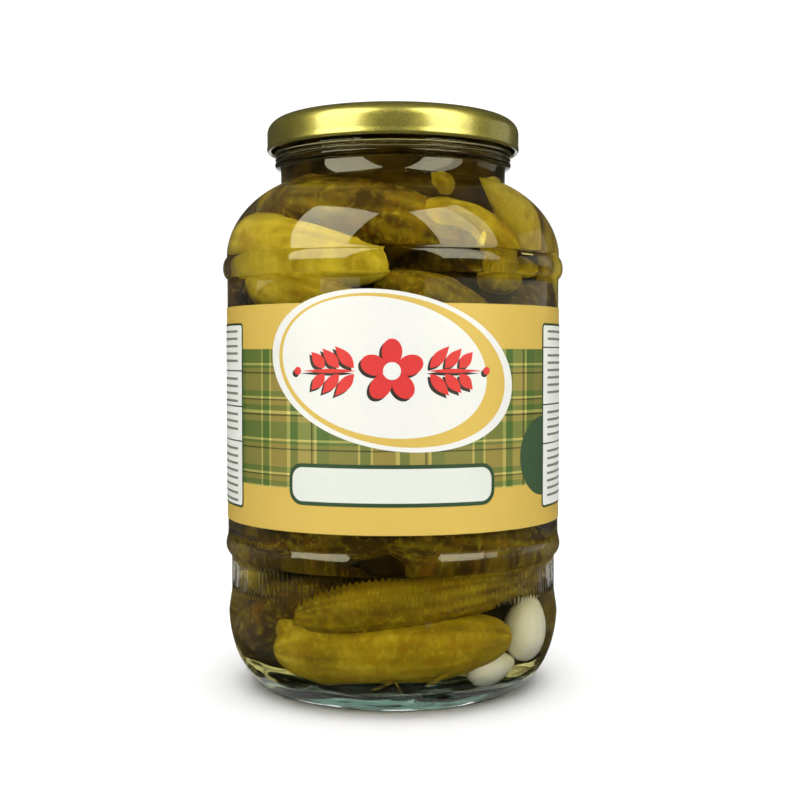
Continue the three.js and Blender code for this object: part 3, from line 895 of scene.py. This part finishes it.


# Contents


# The gherkins that show at the front, near where the CAD model has them. tone is how light one is: partly the
# gherkin's own colour, partly painted shade that darkens the ones lying deeper among the others.
FRONT_GHERKINS = [
    dict(turn=0, height=20.5, tilt=3, length=71.5, girth=21.5, bow=3, inset=0, tone=0.0),
    dict(turn=9, height=34.8, tilt=8, length=72, girth=17, bow=4, inset=0, tone=-0.12),
    dict(turn=-56, height=28, tilt=30, length=48, girth=17, bow=2, inset=2, tone=-0.3),
    dict(turn=-46, height=28, tilt=-50, length=26, girth=13, bow=0, inset=4, tone=-0.05),
    dict(turn=34, height=53, tilt=-3, length=58, girth=18, bow=3, inset=0, tone=-0.22),
    dict(turn=-31, height=55, tilt=4, length=60, girth=19, bow=3, inset=1, tone=-0.28),
    dict(turn=84, height=45, tilt=12, length=56, girth=19, bow=3, inset=0, tone=-0.15),
    dict(turn=-36, height=130.5, tilt=-18, length=48, girth=18, bow=3, inset=0, tone=0.05),
    dict(turn=21, height=127.5, tilt=-28, length=45, girth=18, bow=2, inset=3, tone=-0.15),
    dict(turn=44, height=137.6, tilt=0, length=16, girth=12.5, bow=0, inset=1, tone=-0.12),
    dict(turn=-42.5, height=144, tilt=-9, length=66, girth=18.5, bow=4, inset=0, tone=0.17),
    dict(turn=39, height=149.5, tilt=-16, length=36, girth=14.5, bow=2, inset=9, tone=0.0),
    dict(turn=80, height=155, tilt=-52, length=34, girth=19, bow=5, inset=0, tone=0.26),
    dict(turn=96, height=137, tilt=68, length=44, girth=17, bow=2, inset=0, tone=0.05),
    dict(turn=-68, height=155, tilt=48, length=42, girth=16, bow=7, inset=1, tone=-0.22),
    dict(turn=-9, height=153.5, tilt=-13, length=60, girth=19, bow=2, inset=1.5, tone=-0.26),
    dict(turn=27, height=165.5, tilt=-80, length=20, girth=11.5, bow=0, inset=2, tone=0.0),
    dict(turn=70, height=127, tilt=14, length=44, girth=18, bow=3, inset=4, tone=-0.35),
    dict(turn=-86, height=132, tilt=58, length=44, girth=17, bow=3, inset=1, tone=-0.3),
]

# More at the back and the sides, which fill the shoulder and the waist
BACK_GHERKINS = [
    dict(turn=-90, height=44, tilt=4, length=50, girth=16, bow=4, inset=0, tone=-0.2),
    dict(turn=128, height=158, tilt=14, length=50, girth=18, bow=4, inset=1, tone=-0.1),
    dict(turn=-118, height=159, tilt=-12, length=52, girth=17, bow=4, inset=1, tone=0.0),
    dict(turn=178, height=163, tilt=6, length=44, girth=16, bow=3, inset=1, tone=-0.2),
]

# Loose bits: a stub of stalk, seeds, and strands of dill on the floor
SCRAPS = [
    dict(turn=79, height=139.5, tilt=-80, length=13, girth=5, bow=0, inset=1, tone=0.3),
    dict(turn=31.5, height=148, tilt=70, length=4.5, girth=2.2, bow=0, inset=0.2, tone=0.45),
    dict(turn=17, height=12.2, tilt=26, length=8, girth=1.4, bow=0.5, inset=0.3, tone=-0.1),
    dict(turn=-3, height=10.6, tilt=20, length=8, girth=0.8, bow=1, inset=0.2, tone=-0.2),
    dict(turn=2, height=10.2, tilt=-50, length=5, girth=0.8, bow=0.5, inset=0.2, tone=-0.3),
]

CLOVES = [
    dict(node="garlic_clove_1", turn=65, height=23.6, lean=4, length=20.5, width=17),
    dict(node="garlic_clove_2", turn=45, height=13.4, lean=88, length=18, width=10.5),
]

ROW_HEIGHTS = [20, 41, 62, 83, 104, 125, 146]
ROW_COUNT = 5
ROW_LENGTH = 62
ROW_GIRTH = 20.5

# A gherkin's skin, in mm where it isn't a share of the radius
LUMP_SHARE = 0.06
RIDGE_SHARE = 0.015
WART_SPACING = 4.2
WART_SIZE = 0.34
WART_HEIGHT = 0.45
GRAIN_SIZE = 1.6
GRAIN_HEIGHT = 0.12

FINE_MESH = (84, 52)

# The core of the heap: a dark body, painted shade that stands in for the shade deep among the gherkins
CORE_R = 33.0
CORE_FOOT_R = 37.0
CORE_NECK_R = 34.2
CORE_LOW_Z = 12.0
CORE_HIGH_Z = 178.5

WALL_LINE = inside_wall()


def glass_inner_r(z):
    """The inner radius of the glass at a height."""
    return float(np.interp(z, WALL_LINE[::-1, 1], WALL_LINE[::-1, 0]))


def room_for(z, radius):
    """How far from the axis the middle of a ball may be at a height, clear of the glass."""
    angles = np.radians(np.arange(-75, 76, 15))
    return min(glass_inner_r(z + radius * math.sin(a)) - radius * math.cos(a) for a in angles) - CLEARANCE


def gherkin_radius(girth, s):
    """A gherkin's radius at s, from -1 to 1 along it: blunt ends, a little thicker at the first."""
    return girth / 2 * math.sqrt(max(0, 1 - abs(s) ** 2.6)) * (1 - 0.08 * s)


def gherkin_line(g):
    """The line through a gherkin's middle for s from -1 to 1, as near to the glass as it goes."""
    turn, tilt = math.radians(g["turn"]), math.radians(g["tilt"])
    outward = Vector((math.sin(turn), -math.cos(turn), 0))
    sideways = Vector((math.cos(turn), math.sin(turn), 0))
    half = g["length"] / 2
    reach = math.inf
    for s in np.linspace(-1, 1, 17):
        z = g["height"] + half * s * math.sin(tilt)
        room = max(0, room_for(z, gherkin_radius(g["girth"], s)))
        side = half * s * math.cos(tilt)
        reach = min(reach, math.sqrt(max(0, room ** 2 - side ** 2)) + g["bow"] * s ** 2)

    def at(s):
        middle = outward * (reach - g["inset"] - g["bow"] * s * s) + sideways * (half * s * math.cos(tilt))
        middle.z = g["height"] + half * s * math.sin(tilt)
        return middle
    return at


def gherkin_mesh(g, rings, sides, seed):
    """Points and faces of one warty gherkin, with its streaks and warts."""
    at = gherkin_line(g)
    shift = Vector((seed * 3.7, seed * 1.9, seed * 5.3))
    rows, streak, wart = [], [], []
    for i in range(rings + 1):
        s = -math.cos(math.pi * i / rings)
        middle = at(s)
        along = (at(s + 0.01) - at(s - 0.01)).normalized()
        across = Vector((0, 0, 1)).cross(along).normalized()
        over = along.cross(across)
        end = i in (0, rings)
        radius = 0 if end else gherkin_radius(g["girth"], s)
        row = []
        for k in range(1 if end else sides):
            angle = 2 * math.pi * k / sides
            y, z = math.cos(angle), math.sin(angle)
            out = across * y + over * z
            round_place = Vector((s * 3.0, y * 1.1, z * 1.1)) + shift
            lump = LUMP_SHARE * noise.noise(round_place * 0.9)
            ridge = RIDGE_SHARE * math.cos(3 * angle + seed)
            place_mm = Vector((s * g["length"] / 2, y * radius, z * radius)) + shift
            near = noise.voronoi(place_mm / WART_SPACING)[0][0]
            bump = max(0.0, 1 - near / WART_SIZE) ** 2 * WART_HEIGHT * min(1, radius / 4)
            fine = GRAIN_HEIGHT * noise.noise(place_mm / GRAIN_SIZE)
            row.append(middle + out * (radius * (1 + lump + ridge) + (0 if end else bump + fine)))
            streak.append(0.5 + 0.5 * noise.noise(Vector((s * 1.6, y * 4.5, z * 4.5)) + shift))
            wart.append(min(1, bump * 2.5))
        rows.append(np.array(row))
    points, faces = loft(rows)
    return points, faces, streak, wart


def chance(row, column):
    """The same number from 0 to 1 for the same pair, as the CAD model has it."""
    value = math.sin(row * 12.9898 + column * 78.233) * 43758.5453
    return value - math.floor(value)


def row_gherkins():
    """Rows of gherkins all the way round, but for where the placed ones and the garlic are."""
    found = []
    for row, height in enumerate(ROW_HEIGHTS):
        for column in range(ROW_COUNT):
            turn = (column + 0.5 * (row % 2)) * 360 / ROW_COUNT + 16 * (chance(row, column) - 0.5)
            g = dict(turn=(turn + 180) % 360 - 180,
                     height=height + 3 * (chance(row, column + 7) - 0.5),
                     tilt=26 * (chance(row, column + 13) - 0.5),
                     length=ROW_LENGTH * (0.85 + 0.3 * chance(row, column + 19)),
                     girth=ROW_GIRTH * (0.88 + 0.24 * chance(row, column + 29)),
                     bow=3, inset=0.6, tone=0.2 * (chance(row, column + 37) - 0.6))
            shows = any(abs(f["turn"] - g["turn"]) < 44 and abs(f["height"] - g["height"]) < 13
                        for f in FRONT_GHERKINS)
            hits = any(abs(c["turn"] - g["turn"]) < 40 and abs(c["height"] - g["height"]) < 18
                       for c in CLOVES)
            if not shows and not hits:
                found.append(g)
    return found


def make_gherkins(name, gherkins, rings, sides, material, seed):
    """Several gherkins as one piece."""
    points, faces, streak, wart, tone = [], [], [], [], []
    for number, g in enumerate(gherkins):
        p, f, s, w = gherkin_mesh(g, rings, sides, seed + number)
        start = len(points)
        points += p.tolist()
        faces += [tuple(i + start for i in face) for face in f]
        streak += s
        wart += w
        tone += [g["tone"]] * len(p)
    return make_piece(name, points, faces, [material],
                      attributes={"streak": streak, "wart": wart, "tone": tone})


def make_core():
    """A dark body in the middle of the heap, painted shade for the shade deep among the gherkins. It shows
    only in the gaps and through the neck.
    """
    outline = joined(
        [[0, CORE_LOW_Z], [CORE_FOOT_R, CORE_LOW_Z], [CORE_FOOT_R, 22], [CORE_R, 27], [CORE_R, 142]],
        bezier([CORE_R, 142], [CORE_R, 154], [CORE_R - 2, 160], [CORE_R, 168], 8),
        [[CORE_NECK_R, 172], [CORE_NECK_R, CORE_HIGH_Z], [0, CORE_HIGH_Z]],
    )
    points, faces = loft(turned(outline, 48))
    material, tree, shader = new_material("heap_painted_shade", 0.8, Specular_IOR_Level=0.0)
    cloud = noise_of(tree, place(tree), 70.0, 4.0)
    tree.links.new(ramp_of(tree, cloud, ((0.35, rgb(34, 26, 6)), (0.65, rgb(84, 64, 14)))),
                   shader.inputs["Base Color"])
    make_piece("heap_core", points, faces, [material])


def make_clove(clove, material):
    """A garlic clove: an egg with a slightly uneven girth, leant over and pushed out to the glass."""
    rows = []
    count = 40
    sides = 56
    for i in range(count + 1):
        s = -math.cos(math.pi * i / count)
        radius = clove["width"] / 2 * math.sqrt(max(0, 1 - s * s)) * (1 - 0.28 * s)
        points = ring(radius if 0 < i < count else 0, clove["length"] / 2 * s, sides)
        if len(points) > 1:
            around = np.linspace(0, 2 * math.pi, sides, endpoint=False)
            points[:, :2] *= (1 + 0.03 * np.cos(2 * around + 0.6) + 0.02 * np.cos(3 * around))[:, None]
        rows.append(points)
    points, faces = loft(rows)
    points = points * np.array([1, 0.86, 1])
    reach = room_for(clove["height"], clove["width"] / 2) - 1
    lean = Matrix.Rotation(math.radians(clove["lean"]), 4, "Y")
    turn = Matrix.Rotation(math.radians(clove["turn"]), 4, "Z")
    move = turn @ Matrix.Translation((0, -reach, clove["height"])) @ lean
    points = [move @ Vector(p) for p in points]
    piece = make_piece(clove["node"].replace("clove", "clove_fine"), points, faces, [material])
    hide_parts(clove["node"])


def make_contents():
    skin = gherkin_material("gherkin", rgb(70, 53, 9), rgb(156, 132, 20), rgb(222, 200, 56))
    rings, sides = FINE_MESH
    low = [g for g in FRONT_GHERKINS if g["height"] < 90]
    high = [g for g in FRONT_GHERKINS if g["height"] > 90]
    first = make_gherkins("gherkins_low", low, rings, sides, skin, 1)
    make_gherkins("gherkins_high", high, rings, sides, skin, 20)
    make_gherkins("gherkins_round", row_gherkins() + BACK_GHERKINS, rings // 2, sides // 2, skin, 50)
    make_gherkins("loose_bits", SCRAPS, 24, 14, skin, 80)
    make_core()
    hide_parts("pickles")
    garlic = garlic_material()
    for clove in CLOVES:
        make_clove(clove, garlic)


# Stage, light and camera


def make_card(name, azimuth, elevation, distance, width, height, color, strength):
    """A soft box: a plane that faces the jar and gives light. Azimuth 0 is the camera's side."""
    bpy.ops.mesh.primitive_plane_add(size=1)
    card = bpy.context.object
    card.name = name
    a, e = math.radians(azimuth), math.radians(elevation)
    out = Vector((math.sin(a) * math.cos(e), -math.cos(a) * math.cos(e), math.sin(e)))
    card.location = out * distance + Vector((0, 0, 0.1))
    card.rotation_euler = out.to_track_quat("Z", "Y").to_euler()
    card.scale = (width, height, 1)
    material = bpy.data.materials.new(name)
    material.use_nodes = True
    tree = material.node_tree
    tree.nodes.clear()
    light = tree.nodes.new("ShaderNodeEmission")
    light.inputs["Color"].default_value = color
    light.inputs["Strength"].default_value = strength
    tree.links.new(light.outputs[0], tree.nodes.new("ShaderNodeOutputMaterial").inputs["Surface"])
    card.data.materials.append(material)
    card.visible_camera = False
    card.visible_diffuse = False
    return card


def make_stage():
    """The floor and the soft boxes, each of which is mirrored, or lights what is in the jar, or both."""
    bpy.ops.mesh.primitive_plane_add(size=12)
    floor = bpy.context.object
    floor.name = "floor"
    material = new_material("floor", 0.9, Base_Color=FLOOR_WHITE, Specular_IOR_Level=0.0)[0]
    floor.data.materials.append(material)
    floor.visible_glossy = False
    for name, azimuth, elevation, distance, width, height, strength in SOFT_BOXES:
        make_card(name, azimuth, elevation, distance, width, height, WARM, BOX_LIGHT * strength)
    # Below the floor, which mirroring doesn't see: only the very bottom of the glass mirrors it
    glint = make_card("base_glint", 180, -52, 1.5, 1.5, 0.45, PURE_WHITE, BOX_LIGHT * GLINT)
    glint.visible_transmission = False
    # From the front, for the label and the floor
    fill = make_card("fill_front", 0, 32, 1.8, 1.5, 1.4, PURE_WHITE, FRONT_LIGHT)
    fill.visible_diffuse = True
    fill.visible_glossy = False
    # Through the glass only, for the contents
    for side in (-1, 1):
        key = make_card(f"inner_key_{side + 2}", side * 45, 40, 1.5, 1.2, 1.2, CREAM, INNER_LIGHT)
        key.visible_glossy = False


def make_world():
    """White for what is seen straight or through the glass, less for lighting, dark for mirroring."""
    world = bpy.data.worlds.new("studio")
    bpy.context.scene.world = world
    world.use_nodes = True
    tree = world.node_tree
    background = tree.nodes["Background"]
    path = tree.nodes.new("ShaderNodeLightPath")
    coordinates = tree.nodes.new("ShaderNodeTexCoord")
    split = tree.nodes.new("ShaderNodeSeparateXYZ")
    tree.links.new(coordinates.outputs["Generated"], split.inputs[0])
    # Mirrored, the world is dark but for a patch straight behind the jar
    behind = ramp_of(tree, split.outputs["Y"], (
        (0.0, (0.03, 0.026, 0.01, 1)), (0.95, (0.05, 0.045, 0.03, 1)), (0.99, (0.9, 0.9, 0.9, 1))))
    # A refracted ray counts as a glossy one too
    mirrored = math_of(tree, "SUBTRACT", path.outputs["Is Glossy Ray"],
                       path.outputs["Is Transmission Ray"], True)
    lit = math_of(tree, "MINIMUM", path.outputs["Diffuse Depth"], 1.0)
    color = mix_of(tree, mirrored, PURE_WHITE, behind)
    sky = ramp_of(tree, split.outputs["Z"], ((AMBIENT_TO, AMBIENT), (OVERHEAD_FROM, OVERHEAD)))
    color = mix_of(tree, lit, color, sky)
    tree.links.new(color, background.inputs["Color"])
    background.inputs["Strength"].default_value = WORLD_LIGHT


def make_camera():
    data = bpy.data.cameras.new("camera")
    data.lens = LENS
    data.sensor_width = SENSOR
    data.clip_start = 0.01
    data.clip_end = 50
    camera = bpy.data.objects.new("camera", data)
    camera.location = Vector((CAMERA_SIDE, -CAMERA_DISTANCE, CAMERA_HEIGHT)) * MM
    camera.rotation_euler = (math.radians(90 + CAMERA_PITCH), 0, 0)
    bpy.context.scene.collection.objects.link(camera)
    bpy.context.scene.camera = camera


def set_render():
    scene = bpy.context.scene
    scene.view_settings.view_transform = "Standard"
    scene.view_settings.look = "None"
    scene.cycles.max_bounces = 20
    scene.cycles.transmission_bounces = 18
    scene.cycles.glossy_bounces = 6
    scene.cycles.diffuse_bounces = 4
    scene.cycles.sample_clamp_indirect = 6.0


make_camera()
make_stage()
make_world()
set_render()
make_jar()
make_base_tint()
make_brine()
make_lid()
make_paper()
make_tartan()
make_emblem()
make_plates()
make_contents()
